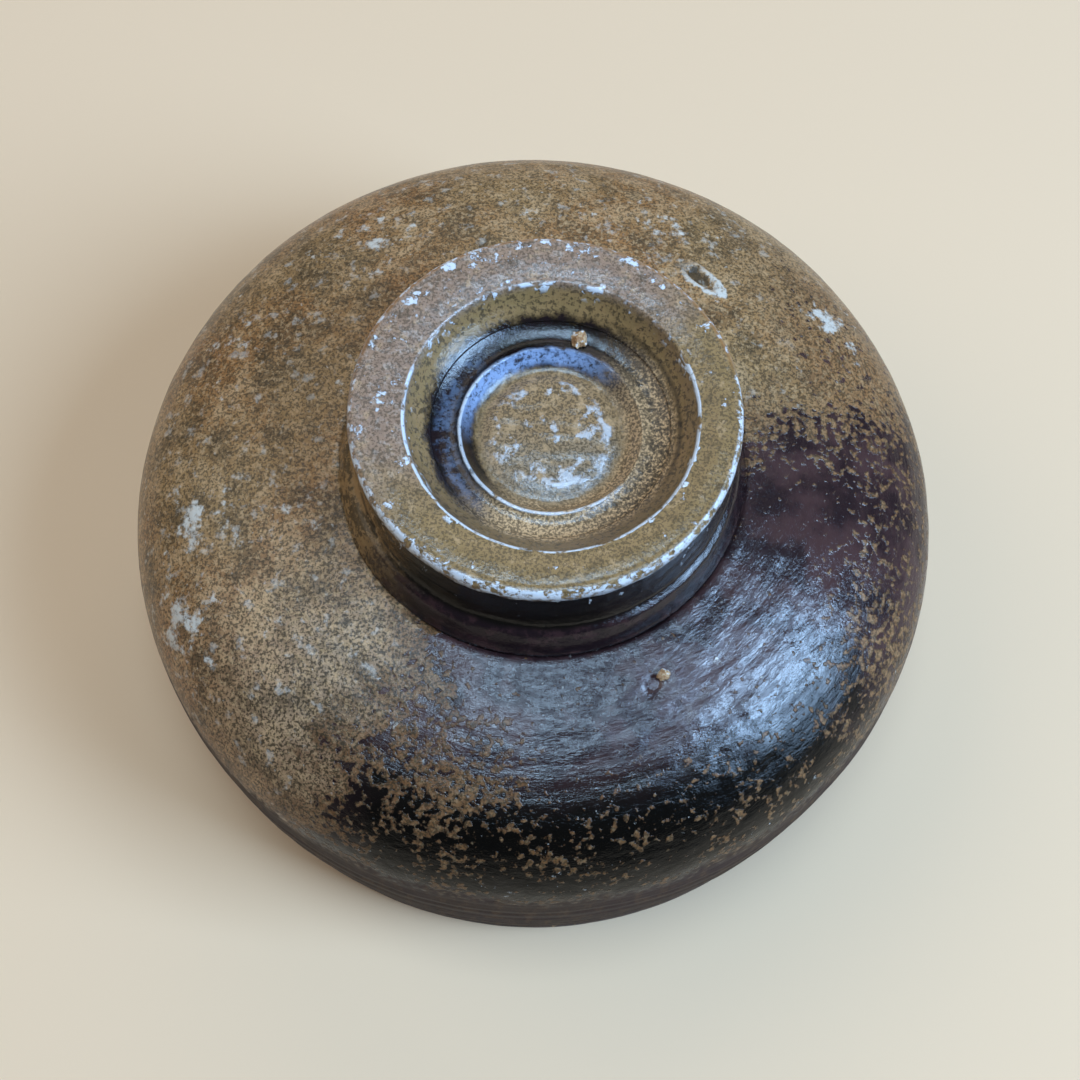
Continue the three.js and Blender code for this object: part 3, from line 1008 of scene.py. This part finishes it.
CAMERA_PLACE = Vector((0.88, -102.4, 280.05)) * MM
CAMERA_PITCH = math.radians(68.32)
CAMERA_ROLL = math.radians(2.0)
CAMERA_LENS = 58.57
SENSOR = 36
FLOOR_SIZE = 6
FLOOR_COLOR = tone(202, 172, 140)
FLOOR_ROUGHNESS = 0.9
WORLD_COLOR = (1.0, 0.98, 0.95, 1)
WORLD_STRENGTH = 0.10

# Name, azimuth and elevation in degrees, distance and size in metres, watts, and colour
SOFTBOXES = [
    ("window", 72, 42, 1.0, (0.42, 0.62), 19, (0.42, 0.66, 1.0)),
    ("ceiling", -4, 86, 1.1, (0.36, 0.42), 7.6, (0.50, 0.74, 1.0)),
    ("fill", -100, 48, 1.2, (1.0, 1.0), 4.6, (1.0, 0.91, 0.78)),
    ("back", 180, 40, 1.6, (1.6, 0.9), 6.5, (1.0, 0.92, 0.80)),
]


def add_camera():
    data = bpy.data.cameras.new("camera")
    data.lens = CAMERA_LENS
    data.sensor_width = SENSOR
    data.clip_start = 0.01
    camera = bpy.data.objects.new("camera", data)
    bpy.context.collection.objects.link(camera)
    ahead = Vector((0, math.cos(CAMERA_PITCH), -math.sin(CAMERA_PITCH)))
    level_up = Vector((0, math.sin(CAMERA_PITCH), math.cos(CAMERA_PITCH)))
    right = Vector((1, 0, 0)) * math.cos(CAMERA_ROLL) + level_up * math.sin(CAMERA_ROLL)
    up = level_up * math.cos(CAMERA_ROLL) - Vector((1, 0, 0)) * math.sin(CAMERA_ROLL)
    turn = Matrix((right, up, -ahead)).transposed()
    camera.matrix_world = Matrix.Translation(CAMERA_PLACE) @ turn.to_4x4()
    bpy.context.scene.camera = camera


def add_softbox(name, azimuth, elevation, distance, size, power, color):
    """A soft light, seen from the bowl at an azimuth from -Y towards +X and an elevation."""
    data = bpy.data.lights.new(name, "AREA")
    data.shape = "RECTANGLE"
    data.size, data.size_y = size
    data.energy = power
    data.color = color
    light = bpy.data.objects.new(name, data)
    bpy.context.collection.objects.link(light)
    a, e = math.radians(azimuth), math.radians(elevation)
    away = Vector((math.sin(a) * math.cos(e), -math.cos(a) * math.cos(e), math.sin(e)))
    light.location = away * distance
    light.rotation_euler = away.to_track_quat("Z", "Y").to_euler()


def add_floor():
    bpy.ops.mesh.primitive_plane_add(size=FLOOR_SIZE)
    floor = bpy.context.object
    floor.name = "floor"
    material = bpy.data.materials.new("floor")
    material.use_nodes = True
    shader = material.node_tree.nodes["Principled BSDF"]
    shader.inputs["Base Color"].default_value = FLOOR_COLOR
    shader.inputs["Roughness"].default_value = FLOOR_ROUGHNESS
    floor.data.materials.append(material)


def add_lights():
    for softbox in SOFTBOXES:
        add_softbox(*softbox)
    world = bpy.data.worlds.new("world")
    world.use_nodes = True
    sky = world.node_tree.nodes["Background"]
    sky.inputs["Color"].default_value = WORLD_COLOR
    sky.inputs["Strength"].default_value = WORLD_STRENGTH
    bpy.context.scene.world = world
    bpy.context.scene.view_settings.view_transform = "Standard"


add_camera()
add_lights()
add_floor()
clay = fired_clay()
foot = foot_coat()
sand = grit_sand()
add_clay(clay)
add_outside(outside_glaze())
add_foot(foot)
add_well(foot)
add_inside(inside_coat())
add_grit("kiln_grit_well", 1.3, 1.2, sand)
add_grit("kiln_grit_shoulder", 4.1, 0.5, sand)
